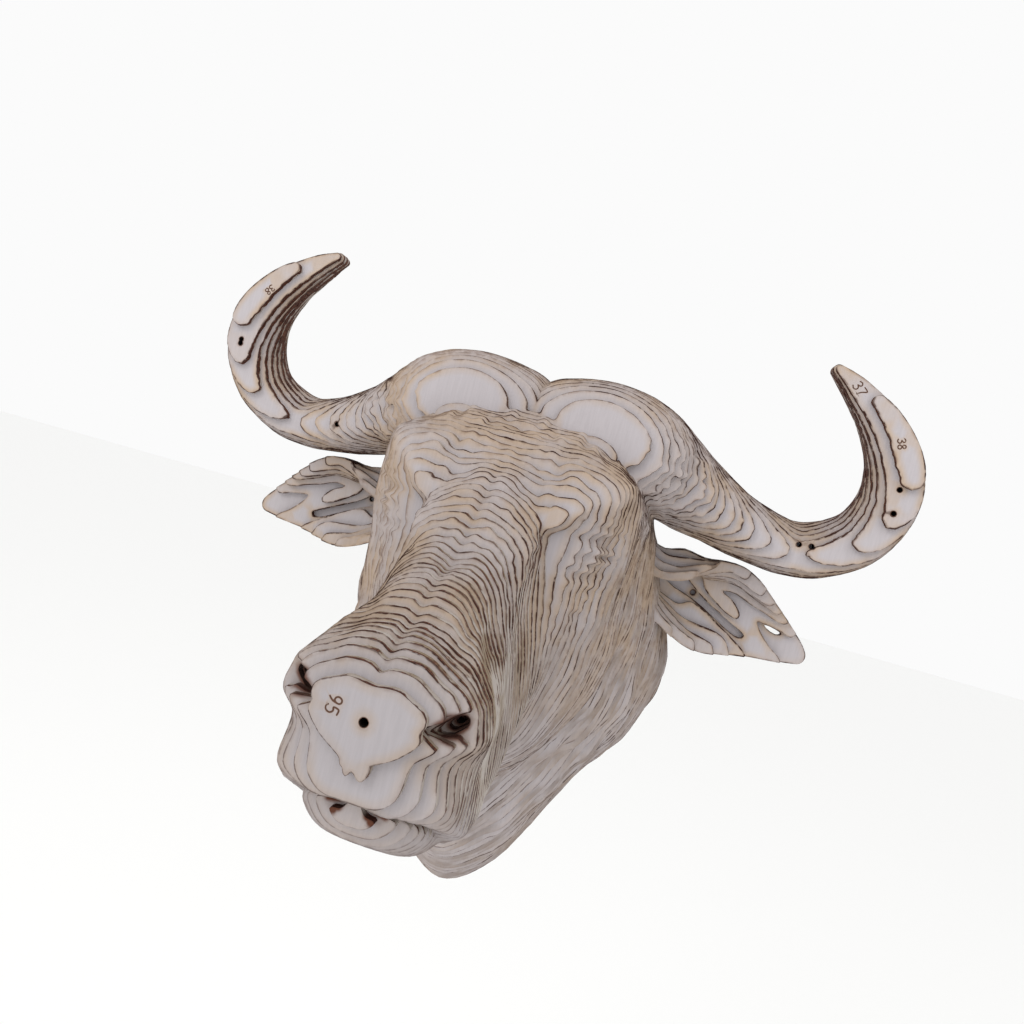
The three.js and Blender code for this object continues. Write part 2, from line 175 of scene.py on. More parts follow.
# Outlines of the right ear, where [x, z] lies in or behind each sheet. They reach past the ear's own
# outline, which trims them. Each sheet ends where the sheet a thickness in front of it begins.
ear = {
    "outline": [
        [17, 4], [21.3, 4.2], [24.2, 3.3], [27.5, 4.1], [31.3, 3.5], [34.1, 3.9], [37.5, 3.8],
        [40.4, 2.5], [44.1, -0.6], [47.8, -3.8], [51, -7], [51.8, -8.6], [51.3, -9.9], [49.6, -10.4],
        [46.3, -10.8], [42.1, -11.2], [38, -11.8], [34.5, -12.3], [31.3, -11.8], [28, -10.3], [24.7, -8.4],
        [22, -7], [17, -5.5]],
    "plates": {
        25: [
            [17, 8], [52, 8], [49.6, -4.4], [48.4, -6], [46.5, -5.4], [44, -5], [42.5, -4.9],
            [43.8, -6.8], [45.7, -8.6], [47.8, -10.2], [48.2, -14], [17, -14]],
        26: [
            [17, 8], [52, 8], [47.8, -2.6], [46.9, -3.9], [45.4, -3.9], [43.2, -3.1], [40.5, -2.3],
            [37.6, -1.2], [35.5, -1.3], [37.8, -2.6], [39.3, -4.5], [39, -5.3], [37.4, -5], [34.8, -3.5],
            [32.6, -1.9], [31.6, -0.1], [30.1, 0.9], [26, -1.2], [22.9, -1.4], [21.9, -2.7], [24.3, -3.8],
            [27, -5], [28.9, -5.5], [30.7, -4.6], [32.6, -5], [36, -6.9], [39.3, -8.9], [41.9, -10.8],
            [42.5, -14], [17, -14]],
        27: [
            [17, 8], [52, 8], [46.2, -1.2], [45.3, -2.5], [43.3, -2.1], [40.9, -1.2], [37.6, 0.2],
            [34.9, 0.3], [31.7, 0], [30.5, 1], [26, -0.8], [22.9, -1.4], [21.9, -2.7], [23, -3.5],
            [26.6, -5.5], [30, -7.4], [33.3, -8], [36, -8.3], [37.9, -9.2], [39.1, -11.1], [39.5, -14],
            [17, -14]],
        28: [
            [17, 8], [52, 8], [44.9, 0.4], [44, -0.9], [43.2, -1.5], [40.7, -0.8], [36.9, 0.6], [34.7, 0.7],
            [31.6, 0.3], [30.4, 1.2], [26, -0.5], [22.9, -1.4], [21.9, -2.7], [22.5, -3.4], [24.6, -4.7],
            [27.8, -7], [31.2, -9.1], [34.3, -9.9], [36.2, -10.7], [36.4, -14], [17, -14]],
        29: [
            [17, 8], [52, 8], [42.4, 1.9], [41.5, -0.1], [39.8, 0.3], [37.2, 1.3], [34.6, 1.3], [31.6, 0.6],
            [30.3, 1.3], [26, -0.5], [22.9, -1.4], [21.8, -2.8], [24.4, -5.2], [27.7, -8], [30.8, -9.7],
            [33.1, -10.8], [32.7, -14], [17, -14]],
        30: [
            [17, 6], [21, 4.5], [22.4, 3.5], [24.9, 2.5], [27.8, 2.8], [30.7, 3.2], [33.7, 3.8], [38, 6],
            [38.8, 2.8], [38.1, 1.8], [35.9, 2.4], [33.9, 1.8], [31.8, 0.9], [29.1, -0.5], [26, -1.4],
            [22.9, -1.4], [21.6, -3.2], [23.8, -5.1], [26.4, -7.7], [29, -9.6], [28, -14], [17, -14]],
        31: [
            [17, 5], [21.5, 4.2], [21.9, 3], [23.2, 1.7], [24.8, 1.1], [27.3, 1.1], [28.8, 1.7],
            [31.3, 2.7], [32.6, 2.9], [33.4, 3.8], [33.2, 2.8], [30.8, 0.9], [29.1, -0.6], [26, -1.5],
            [22.9, -1.4], [20.5, -1.7], [17, -1.7]],
        32: [
            [17, 4], [21.6, 3], [22.4, 1.5], [23.3, 0.2], [24.6, -0.3], [27.5, 0.3], [30.2, 1.3],
            [30.7, 0.9], [29.1, -0.6], [26, -1.5], [22.9, -1.4], [20.5, -1.7], [17, -1.7]],
    },
    "valley": [
        [27, 0.3], [29.5, -1.1], [32.1, -3.1], [34.6, -4.5], [37.2, -5.8], [39.2, -6.8], [41, -7.8],
        [40.7, -8.4], [39.3, -8.3], [36.6, -7], [32.6, -4.8], [29.6, -3.6], [27.5, -3], [25, -1.2]],
    "slit": [[43.9, -5.2], [45.3, -5.3], [46.9, -5.9], [46.4, -6.3], [45, -6]],
    "tip": 24, "thickness": 3, "backInset": 2.2, "backEnd": 42, "rounding": 3,
}

# Openings of the nostrils on the right, as outlines cut out of each sheet
nostril = {
    94: [[5.2, -16.3], [6.2, -15.6], [7.1, -15], [9, -14.6], [9, -17.6], [7.4, -17.7], [6.3, -17.1]],
    93: [[5.4, -16.6], [6.2, -15.8], [7.7, -14.3], [10, -13.6], [10, -16.9], [8.6, -17.1], [7, -16.9]],
    92: [
        [6, -16.8], [7, -15.6], [8.8, -14], [11, -13.4], [11, -16.4], [9.5, -16.9], [8.8, -16.5],
        [7.5, -16.8]],
    91: [[6.5, -16.9], [7, -15.8], [8.4, -14.6], [9.2, -14.6], [9.3, -15.3], [8.6, -16.2], [7.7, -16.9]],
    90: [[7.2, -16.3], [7.6, -15.5], [8.4, -14.9], [8.95, -14.95], [9, -15.4], [8.4, -16.1], [7.8, -16.5]],
    89: [[7.6, -16], [7.9, -15.4], [8.3, -15.1], [8.7, -15.2], [8.6, -15.7], [8.1, -16.1]],
    88: [[7.6, -16], [7.9, -15.4], [8.3, -15.1], [8.65, -15.25], [8.5, -15.75], [8.1, -16.1]],
    87: [[7.7, -15.9], [7.9, -15.5], [8.3, -15.2], [8.6, -15.3], [8.4, -15.75], [8.1, -16]],
}
noseTab = {"sheet": 95, "outline": [[-1, -20.5], [-0.8, -22.3], [-0.4, -22.5], [0, -21.9], [0.4, -22.2],
                                    [0.9, -22.6], [1.4, -22.4], [1.6, -20.5]]}

# Holes for the dowels that line the sheets up: [x, z, diameter, first sheet, last sheet]
dowels = [
    [0, -16.9, 1, 88, 95],
    [55.5, 21.7, 0.85, 34, 37],
    [55.6, 18, 0.85, 34, 37],
    [46, 10, 0.85, 33, 36],
    [44.1, 9.8, 0.85, 33, 36],
    [-56.3, 19.8, 0.85, 34, 37],
    [-56.3, 19.1, 0.85, 34, 37],
    [-35.1, 9.6, 0.85, 34, 38],
    [30.9, -3.1, 0.9, 24, 27],
    [-30.4, -2.5, 0.9, 24, 27],
]


# Points of a rail at the given sheets, by a cubic that never swings past its keys
def railPoints(keys, at):
    rows = np.array(sorted(keys), float)
    known, values = rows[:, 0], rows[:, 1:]
    run = np.diff(known)
    slope = np.diff(values, axis=0) / run[:, None]
    tangent = np.zeros_like(values)
    tangent[0], tangent[-1] = slope[0], slope[-1]
    before, after = slope[:-1], slope[1:]
    mean = (before * run[1:, None] + after * run[:-1, None]) / (run[1:] + run[:-1])[:, None]
    cap = 3 * np.minimum(abs(before), abs(after))
    tangent[1:-1] = np.where(before * after > 0, np.sign(mean) * np.minimum(abs(mean), cap), 0)
    i = np.clip(np.searchsorted(known, at) - 1, 0, len(known) - 2)
    s = np.clip((at - known[i]) / run[i], 0, 1)[:, None]
    width = run[i][:, None]
    return ((2 * s**3 - 3 * s**2 + 1) * values[i] + (s**3 - 2 * s**2 + s) * width * tangent[i]
            + (3 * s**2 - 2 * s**3) * values[i + 1] + (s**3 - s**2) * width * tangent[i + 1])


# A closed smooth line through the points, by centripetal Catmull-Rom pieces
def smoothLoop(points, steps=6):
    p1 = np.array(points, float)
    p0, p2, p3 = np.roll(p1, 1, 0), np.roll(p1, -1, 0), np.roll(p1, -2, 0)
    d0, d1, d2 = [np.linalg.norm(b - a, axis=1, keepdims=True)**0.5 + 1e-6
                  for a, b in ((p0, p1), (p1, p2), (p2, p3))]
    leave = ((p1 - p0) / d0 - (p2 - p0) / (d0 + d1) + (p2 - p1) / d1) * d1
    arrive = ((p2 - p1) / d1 - (p3 - p1) / (d1 + d2) + (p3 - p2) / d2) * d1
    out = []
    for s in np.arange(steps) / steps:
        out.append((2 * s**3 - 3 * s**2 + 1) * p1 + (s**3 - 2 * s**2 + s) * leave
                   + (3 * s**2 - 2 * s**3) * p2 + (s**3 - s**2) * arrive)
    return np.stack(out, 1).reshape(-1, 2)


# Distance from each point to a closed loop, negative inside
def loopDistance(loop, x, z):
    nearest = np.full(x.shape, 1e9)
    inside = np.zeros(x.shape, bool)
    for (ax, az), (bx, bz) in zip(loop, np.roll(loop, -1, 0)):
        ex, ez = bx - ax, bz - az
        length = ex * ex + ez * ez
        if length < 1e-12:
            continue
        px, pz = x - ax, z - az
        t = np.clip((px * ex + pz * ez) / length, 0, 1)
        nearest = np.minimum(nearest, (px - t * ex)**2 + (pz - t * ez)**2)
        if ez != 0:
            inside ^= ((az > z) != (bz > z)) & (px < pz * (ex / ez))
    return np.where(inside, -1, 1) * np.sqrt(nearest)


def smoothUnion(a, b, reach):
    share = np.clip(0.5 + 0.5 * (b - a) / reach, 0, 1)
    return b * (1 - share) + a * share - reach * share * (1 - share)


# The right half of the grid that every sheet is worked out on
halfX = np.arange(0, grid["halfWidth"] + grid["step"] / 2, grid["step"])
gridZ = np.arange(grid["low"], grid["high"] + grid["step"] / 2, grid["step"])
atX, atZ = np.meshgrid(halfX, gridZ)
sheets = np.arange(1, sheetCount + 1, dtype=float)


# The rows and columns of the grid around a box, with room for the haze along the cut edges
def window(low, high):
    i0, i1 = np.searchsorted(gridZ, [low[1] - grid["margin"], high[1] + grid["margin"]])
    j0, j1 = np.searchsorted(halfX, [low[0] - grid["margin"], high[0] + grid["margin"]])
    return slice(i0, i1), slice(j0, j1)


# Distance fields of a body that is given by rails, one for each sheet
def railBody(rails, first, last):
    fields = np.full((sheetCount, *atX.shape), grid["far"], np.float32)
    lines = [railPoints(keys, sheets) for keys in rails.values()]
    for k in range(first, last + 1):
        right = [line[k - 1] for line in lines]
        left = [point * [-1, 1] for point in right[-2:0:-1]]
        loop = smoothLoop(right + left)
        part = window(loop.min(0), loop.max(0))
        fields[(k - 1, *part)] = loopDistance(loop, atX[part], atZ[part])
    return fields


# Points along a smooth open path through the stations, with their other values
def alongPath(stations, steps):
    rows = np.array(stations, float)
    p1, p2 = rows[:-1], rows[1:]
    p0, p3 = np.vstack([rows[:1], rows[:-2]]), np.vstack([rows[2:], rows[-1:]])
    out = []
    for s in np.arange(steps) / steps:
        out.append(0.5 * (2 * p1 + (p2 - p0) * s + (2 * p0 - 5 * p1 + 4 * p2 - p3) * s**2
                          + (3 * p1 - p0 - 3 * p2 + p3) * s**3))
    return np.vstack([np.stack(out, 1).reshape(-1, rows.shape[1]), rows[-1:]])


# Distance fields of the boss and horn: a stroke along the path, as wide as its slice in each sheet
def hornBody():
    fields = np.full((sheetCount, *atX.shape), grid["far"], np.float32)
    values = alongPath(horn["stations"], horn["stepsPerStation"]).T
    pathX, pathZ, half, front, depth, innerPower, outerPower, ridge = values
    alongX, alongZ = np.gradient(pathX), np.gradient(pathZ)
    length = np.hypot(alongX, alongZ)
    for k in sheets:
        across = abs(k - (front - depth)) / depth
        solid = across < 1
        room = np.clip(across, 0, 1)
        inner = ridge * half - half * (1 + ridge) * (1 - room**innerPower)**(1 / innerPower)
        outer = ridge * half + half * (1 - ridge) * (1 - room**outerPower)**(1 / outerPower)
        slices = np.where(solid, (outer - inner) / 2, -1)
        x = pathX + alongZ / length * (outer + inner) / 2
        z = pathZ - alongX / length * (outer + inner) / 2
        field = fields[int(k) - 1]
        for i in range(len(x) - 1):
            if slices[i] <= 0 and slices[i + 1] <= 0:
                continue
            w0, w1 = max(slices[i], 0), max(slices[i + 1], 0)
            ends = np.array([[x[i], z[i]], [x[i + 1], z[i + 1]]])
            part = window(ends.min(0) - max(w0, w1), ends.max(0) + max(w0, w1))
            ex, ez = ends[1] - ends[0]
            square = ex * ex + ez * ez + 1e-9
            t = np.clip(((atX[part] - x[i]) * ex + (atZ[part] - z[i]) * ez) / square, 0, 1)
            if slices[i] <= 0:
                t = np.maximum(t, 1)
            if slices[i + 1] <= 0:
                t = np.minimum(t, 0)
            away = np.hypot(atX[part] - x[i] - t * ex, atZ[part] - z[i] - t * ez) - (w0 + (w1 - w0) * t)
            field[part] = np.minimum(field[part], away)
    return fields


# Distance fields of the ear, a thin cupped leaf whose front steps follow the plates' outlines
def earBody():
    fields = np.full((sheetCount, *atX.shape), grid["far"], np.float32)
    trim = smoothLoop(ear["outline"], ear["rounding"])
    part = window(trim.min(0), trim.max(0))
    x, z = atX[part], atZ[part]
    whole = loopDistance(trim, x, z)
    reach = {ear["tip"]: whole}
    for k, outline in ear["plates"].items():
        reach[k] = np.maximum(whole, loopDistance(smoothLoop(outline, ear["rounding"]), x, z))
    valley = loopDistance(smoothLoop(ear["valley"], ear["rounding"]), x, z)
    reach[ear["tip"] + 1] = np.maximum(reach[ear["tip"] + 1], -valley)
    reach[ear["tip"] - 1] = np.maximum(whole + ear["backInset"], x - ear["backEnd"])
    for k, inside in reach.items():
        ahead = reach.get(k + ear["thickness"])
        solid = inside if ahead is None else np.maximum(inside, -ahead)
        fields[(k - 1, *part)] = solid
    return fields


body = railBody(head, 1, sheetCount)
body = np.minimum(body, railBody(lowerLip, *lipSheets))
print("head sliced")
body = smoothUnion(body, hornBody(), horn["blend"])
print("horns sliced")


# Folds and lumps: each is a soft random field that moves the surface in and out. In turn: its seed;
# its middle and how far it goes, as sheet, x and z; the size of one lump, the same way; how far it
# lifts a line where the form slopes one to one; and how much of that is kept on steep walls
folds = [
    (3, (54, 4, 15), (5, 13, 5), (2.6, 1.2, 1.2), 0.55, 1),
    (5, (45, 21, 13), (8, 11, 10), (3, 1.5, 1.3), 0.6, 0.4),
    (6, (44, 23, 12), (10, 13, 10), (1.3, 0.8, 0.7), 0.36, 0.2),
    (8, (62, 5, 9), (6, 9, 7), (6, 2.4, 2.8), 0.62, 1),
    (9, (62, 6, 9), (7, 10, 9), (2.6, 1.2, 1.2), 0.24, 1),
    (11, (58, 15, 2.5), (4, 4, 5), (5, 6, 0.7), 0.8, 1),
    (12, (60, 13, -2), (5, 5, 9), (2.5, 2.5, 0.9), 0.45, 1),
    (13, (56, 16, -12), (9, 7, 14), (4, 2.5, 4), 0.45, 0.4),
    (17, (84, 5, -12), (12, 8, 14), (3, 1.4, 1.4), 0.16, 1),
    (18, (72, 4, 0), (7, 9, 8), (2, 1.2, 1.2), 0.26, 1),
    (19, (26, 20, -26), (26, 22, 40), (2.6, 5, 8), 1.5, 0.2),
    (20, (26, 20, -26), (26, 22, 40), (1.5, 1.6, 2.4), 0.25, 0.25),
    (23, (35, 48, 16), (5, 20, 24), (1.6, 1.2, 1.2), 0.15, 0),
    (24, (35, 48, 16), (5, 20, 24), (1, 0.5, 0.5), 0.09, 0),
]
# What keeps the folds in bounds, in sheets; far is the square of a distance in reaches
foldLimits = {"lean": 4, "near": 3.5, "reach": 1.6, "far": 2.5, "push": 0.9}
randomCells = {"count": (48, 96, 96), "shift": 40}
groove = {"width": 0.75, "depth": 0.6, "foremost": 94, "last": 60, "fade": 8, "reachDown": 2.5, "start": 1.5}


# Smooth random values between -1 and 1 that change over the given size
def softRandom(seed, size, k, x, z):
    values = np.random.default_rng(seed).uniform(-1, 1, randomCells["count"]).astype(np.float32)
    spots, shares = [], []
    for axis, place in enumerate((k, z, x)):
        s = place / size[(0, 2, 1)[axis]] + randomCells["shift"]
        whole = np.floor(s)
        share = s - whole
        spots.append(whole.astype(int))
        shares.append(share * share * (3 - 2 * share))
    total = 0
    for dk in (0, 1):
        for dz in (0, 1):
            for dx in (0, 1):
                weight = (shares[0] if dk else 1 - shares[0]) * (shares[1] if dz else 1 - shares[1])
                weight = weight * (shares[2] if dx else 1 - shares[2])
                cell = [(spot + d) % many for spot, d, many in zip(spots, (dk, dz, dx), values.shape)]
                total = total + weight * values[tuple(cell)]
    return total


# Moves each sheet's outline as the folds say, more where the form lies flat to the sheets
def addFolds(body):
    lean = np.clip(abs(np.diff(body, axis=0, prepend=body[:1])), 0, foldLimits["lean"])
    near = abs(body) < foldLimits["near"]
    for seed, (k0, x0, z0), (rk, rx, rz), size, lift, steep in folds:
        last = min(sheetCount, int(k0 + rk * foldLimits["reach"]))
        for k in range(max(1, int(k0 - rk * foldLimits["reach"])), last + 1):
            far = ((k - k0) / rk)**2 + ((atX - x0) / rx)**2 + ((atZ - z0) / rz)**2
            chosen = (far < foldLimits["far"]) & near[k - 1]
            if not chosen.any():
                continue
            fade = np.exp(-(far[chosen]**1.5))
            push = softRandom(seed, size, np.full(chosen.sum(), float(k)), atX[chosen], atZ[chosen])
            moved = lift * fade * push * np.sqrt(steep + lean[k - 1][chosen]**2)
            body[k - 1][chosen] += np.clip(moved, -foldLimits["push"], foldLimits["push"])
    return body


# A shallow groove down the middle of the bridge and the muzzle
def addGroove(body):
    ridge = railPoints(head["ridge"], sheets)[:, 1]
    for k in range(groove["last"], groove["foremost"] + 1):
        fade = min(1, (k - groove["last"]) / groove["fade"])
        top = np.clip((atZ - ridge[k - 1]) / groove["reachDown"] + groove["start"], 0, 1)
        body[k - 1] += groove["depth"] * fade * top * np.exp(-(atX / groove["width"])**2)
    return body


# Adds the caps of the bosses and cuts the nostrils
def addDetails(body):
    cap = body[bossCap["sheet"] - 1]
    np.minimum(cap, loopDistance(smoothLoop(bossCap["outline"]), atX, atZ), out=cap)
    for k, outline in nostril.items():
        body[k - 1] = np.maximum(body[k - 1], -loopDistance(smoothLoop(outline), atX, atZ))
    return body


body = addDetails(addGroove(addFolds(body)))
body = np.minimum(body, earBody())
print("ears, folds and nostrils made")

fullX = np.concatenate([-halfX[:0:-1], halfX])


# The field of a sheet over both halves, with what lies on one side alone
def wholeSheet(k):
    half = body[k - 1]
    field = np.concatenate([half[:, :0:-1], half], 1).astype(float)
    x, z = np.meshgrid(fullX, gridZ)
    if k == noseTab["sheet"]:
        field = np.minimum(field, loopDistance(smoothLoop(noseTab["outline"]), x, z))
    if k == ear["tip"]:
        field = np.maximum(field, -loopDistance(smoothLoop(ear["slit"]), x, z))
    for holeX, holeZ, diameter, first, last in dowels:
        if first <= k <= last:
            field = np.maximum(field, diameter / 2 - np.hypot(x - holeX, z - holeZ))
    return field


# Marching squares: for each pattern of inside corners, the cell edges that the line leaves and enters
turns = {1: [(0, 3)], 2: [(1, 0)], 3: [(1, 3)], 4: [(2, 1)], 6: [(2, 0)], 7: [(2, 3)], 8: [(3, 2)],
         9: [(0, 2)], 11: [(1, 2)], 12: [(3, 1)], 13: [(0, 1)], 14: [(3, 0)]}
saddles = {5: ([(0, 1), (2, 3)], [(0, 3), (2, 1)]), 10: ([(3, 0), (1, 2)], [(1, 0), (3, 2)])}


# Closed lines where a field on the grid lines xs and zs has the level, with the inside on their left
def contours(field, xs, zs, level):
    value = field - level
    rows, cols = value.shape
    inside = value < 0
    pattern = inside[:-1, :-1] + 2 * inside[:-1, 1:] + 4 * inside[1:, 1:] + 8 * inside[1:, :-1]
    cellI, cellJ = np.nonzero((pattern > 0) & (pattern < 15))
    kinds = pattern[cellI, cellJ]
    middle = (value[cellI, cellJ] + value[cellI, cellJ + 1] + value[cellI + 1, cellJ + 1]
              + value[cellI + 1, cellJ])
    edges = np.stack([cellI * cols + cellJ, rows * cols + cellI * cols + cellJ + 1,
                      (cellI + 1) * cols + cellJ, rows * cols + cellI * cols + cellJ], 1)
    follows = {}
    for kind in range(1, 15):
        chosen = kinds == kind
        choices = [(turns[kind], chosen)] if kind in turns else [
            (saddles[kind][0], chosen & (middle < 0)), (saddles[kind][1], chosen & (middle >= 0))]
        for pairs, chosen in choices:
            for a, b in pairs:
                follows.update(zip(edges[chosen, a].tolist(), edges[chosen, b].tolist()))
    loops = []
    while follows:
        start, at = follows.popitem()
        loop = [start]
        while at != start:
            loop.append(at)
            at = follows.pop(at)
        edge = np.array(loop)
        upright = edge >= rows * cols
        i, j = np.divmod(edge % (rows * cols), cols)
        i2, j2 = i + upright, j + ~upright
        share = value[i, j] / (value[i, j] - value[i2, j2])
        x = xs[j] + share * (xs[j2] - xs[j])
        z = zs[i] + share * (zs[i2] - zs[i])
        loops.append(np.stack([x, z], 1))
    return loops


# The loop without every second point that lies within the tolerance of the line past it, pass by pass
def thinned(loop, tolerance, passes=4):
    for _ in range(passes):
        if len(loop) < 12:
            break
        before, after = np.roll(loop, 1, 0), np.roll(loop, -1, 0)
        along = after - before
        length = np.linalg.norm(along, axis=1) + 1e-9
        away = loop - before
        off = abs(along[:, 0] * away[:, 1] - along[:, 1] * away[:, 0]) / length
        drop = (off < tolerance) & (length < 6) & (np.arange(len(loop)) % 2 == 1)
        loop = loop[~drop]
    return loop


def loopArea(loop):
    following = np.roll(loop, -1, 0)
    return 0.5 * np.sum(loop[:, 0] * following[:, 1] - following[:, 0] * loop[:, 1])


# The field at any place on the grid, between its points
def sampled(field, x, z):
    j = (x - fullX[0]) / grid["step"]
    i = (z - gridZ[0]) / grid["step"]
    i0 = np.clip(np.floor(i).astype(int), 0, field.shape[0] - 2)
    j0 = np.clip(np.floor(j).astype(int), 0, field.shape[1] - 2)
    u, v = i - i0, j - j0
    return (field[i0, j0] * (1 - u) * (1 - v) + field[i0 + 1, j0] * u * (1 - v)
            + field[i0, j0 + 1] * (1 - u) * v + field[i0 + 1, j0 + 1] * u * v)


# Digits as strokes in a box one high, and where they are engraved: sheet, middle, height and the
# direction in which the number reads, in degrees
numbers = {
    "strokes": {
        "3": [
            [(0.05, 0.88), (0.25, 1), (0.48, 0.92), (0.5, 0.7), (0.24, 0.54)],
            [(0.24, 0.54), (0.52, 0.42), (0.55, 0.16), (0.32, 0), (0.05, 0.1)]],
        "5": [
            
            [(0.5, 1), (0.12, 1), (0.08, 0.58), (0.34, 0.62), (0.55, 0.42), (0.5, 0.12), (0.26, 0),
               (0.04, 0.1)]],
        "7": [[(0.02, 1), (0.55, 1), (0.3, 0.5), (0.2, 0)]],
        "8": [
            
            [(0.28, 0.54), (0.08, 0.72), (0.14, 0.94), (0.3, 1), (0.46, 0.94), (0.5, 0.72), (0.28, 0.54),
               (0.04, 0.3), (0.1, 0.06), (0.28, 0), (0.48, 0.06), (0.54, 0.3), (0.28, 0.54)]],
        "9": [
            
            [(0.52, 0.68), (0.4, 0.46), (0.16, 0.48), (0.04, 0.7), (0.14, 0.94), (0.34, 1), (0.5, 0.88),
               (0.52, 0.68), (0.46, 0.3), (0.24, 0)]],
    },
    "placed": [
        {"text": "95", "sheet": 95, "at": (-3.35, -16.1), "height": 1.35, "reads": -98},
        {"text": "37", "sheet": 37, "at": (45.9, 35.2), "height": 1.5, "reads": -48},
        {"text": "38", "sheet": 38, "at": (53.7, 28.4), "height": 1.15, "reads": -72},
        {"text": "38", "sheet": 38, "at": (-52.6, 29.2), "height": 1.15, "reads": -130},
    ],
    "middle": (0.28, 0.5), "advance": 0.8, "width": 0.12, "rim": 0.1, "margin": 0.6, "sunk": 0.07,
    "fine": 0.03,
}


# The strokes of a number, as lines of points on its sheet
def numberLines(number):
    turn = math.radians(number["reads"])
    along = np.array([math.cos(turn), math.sin(turn)])
    up = np.array([-along[1], along[0]])
    lines = []
    for place, digit in enumerate(number["text"]):
        shift = (place - (len(number["text"]) - 1) / 2) * numbers["advance"]
        for stroke in numbers["strokes"][digit]:
            points = (alongPath(stroke, 4) - numbers["middle"]) * number["height"]
            lines.append(number["at"] + points[:, :1] * along + points[:, 1:] * up
                         + shift * number["height"] * along)
    return lines


# Outlines around a number's strokes and the lines down their middle, with their burn and sinking
def numberMarks(number):
    lines = numberLines(number)
    low = np.min([line.min(0) for line in lines], 0) - numbers["margin"]
    high = np.max([line.max(0) for line in lines], 0) + numbers["margin"]
    xs, zs = [np.arange(low[i], high[i], numbers["fine"]) for i in (0, 1)]
    x, z = np.meshgrid(xs, zs)
    away = np.full(x.shape, 9.0)
    for line in lines:
        for (ax, az), (bx, bz) in zip(line[:-1], line[1:]):
            ex, ez = bx - ax, bz - az
            t = np.clip(((x - ax) * ex + (z - az) * ez) / (ex**2 + ez**2 + 1e-9), 0, 1)
            away = np.minimum(away, np.hypot(x - ax - t * ex, z - az - t * ez))
    half = numbers["width"] / 2
    marks = [(thinned(loop, 0.01), True, 1.0, 0.0) for loop in contours(away, xs, zs, half)]
    marks += [(thinned(loop, 0.02), True, 0.0, 0.0)
              for loop in contours(away, xs, zs, half + numbers["rim"])]
    return marks + [(line, False, 1.0, numbers["sunk"]) for line in lines]


# The cut edge and the lines inside it where scorch and haze change: [distance, tolerance], in sheets
cut = {"lines": [(0, 0.022), (0.13, 0.03), (0.55, 0.06), (1.6, 0.1)], "smallestPart": 1.0,
       "smallestLine": 0.05, "holeRim": 0.12, "besideNumber": 0.6}


# One sheet's face: flat points with their distance from the cut edge, burn and sinking, and triangles
def triangulated(k, field):
    points, joins, reach, burn, sunk = [], [], [], [], []

    def add(line, closed, distance, burnt=0.0, low=0.0):
        start = len(points)
        points.extend(map(tuple, line.tolist()))
        reach.extend([distance] * len(line))
        burn.extend([burnt] * len(line))
        sunk.extend([low] * len(line))
        last = len(line) if closed else len(line) - 1
        joins.extend((start + i, start + (i + 1) % len(line)) for i in range(last))

    for distance, tolerance in cut["lines"]:
        for loop in contours(field, fullX, gridZ, -distance):
            area = loopArea(loop)
            if abs(area) >= cut["smallestPart" if distance == 0 and area > 0 else "smallestLine"]:
                add(thinned(loop, tolerance), True, distance)
    if len(points) < 3:
        return None
    # Marks the cut edge around each dowel hole: a burnt rim on the faces, and on the hole walls near-black
    # char with painted shade
    for holeX, holeZ, diameter, first, last in dowels:
        if first <= k <= last:
            for i, (x, z) in enumerate(points):
                if reach[i] == 0 and math.hypot(x - holeX, z - holeZ) < diameter / 2 + cut["holeRim"]:
                    burn[i] = 1.0
    for number in numbers["placed"]:
        if number["sheet"] == k:
            for line, closed, burnt, low in numberMarks(number):
                add(line, closed, cut["besideNumber"], burnt, low)
    flat, _, faces, came, _, _ = delaunay_2d_cdt(points, joins, [], 0, 1e-5, True)
    flat = np.array([tuple(p) for p in flat])
    values = np.array([[kind((marks[i] for i in source), default=0.0)
                        for kind, marks in ((min, reach), (max, burn), (max, sunk))] for source in came])
    faces = np.array(faces)
    middle = flat[faces].mean(1)
    faces = faces[sampled(field, middle[:, 0], middle[:, 1]) < 0]
    a, b, c = flat[faces[:, 0]], flat[faces[:, 1]], flat[faces[:, 2]]
    turn = (b[:, 0] - a[:, 0]) * (c[:, 1] - a[:, 1]) - (b[:, 1] - a[:, 1]) * (c[:, 0] - a[:, 0])
    faces = faces[abs(turn) > 1e-7]
    turn = turn[abs(turn) > 1e-7]
    faces[turn < 0] = faces[turn < 0][:, ::-1]
    return flat, values, faces


# A number for each triangle that is the same for all that hang together
def islands(faces, count):
    parent = np.arange(count)
    while True:
        low = parent[faces].min(1)
        before = parent.copy()
        for corner in range(3):
            np.minimum.at(parent, faces[:, corner], low)
        parent = parent[parent]
        if (parent == before).all():
            return parent[faces[:, 0]]


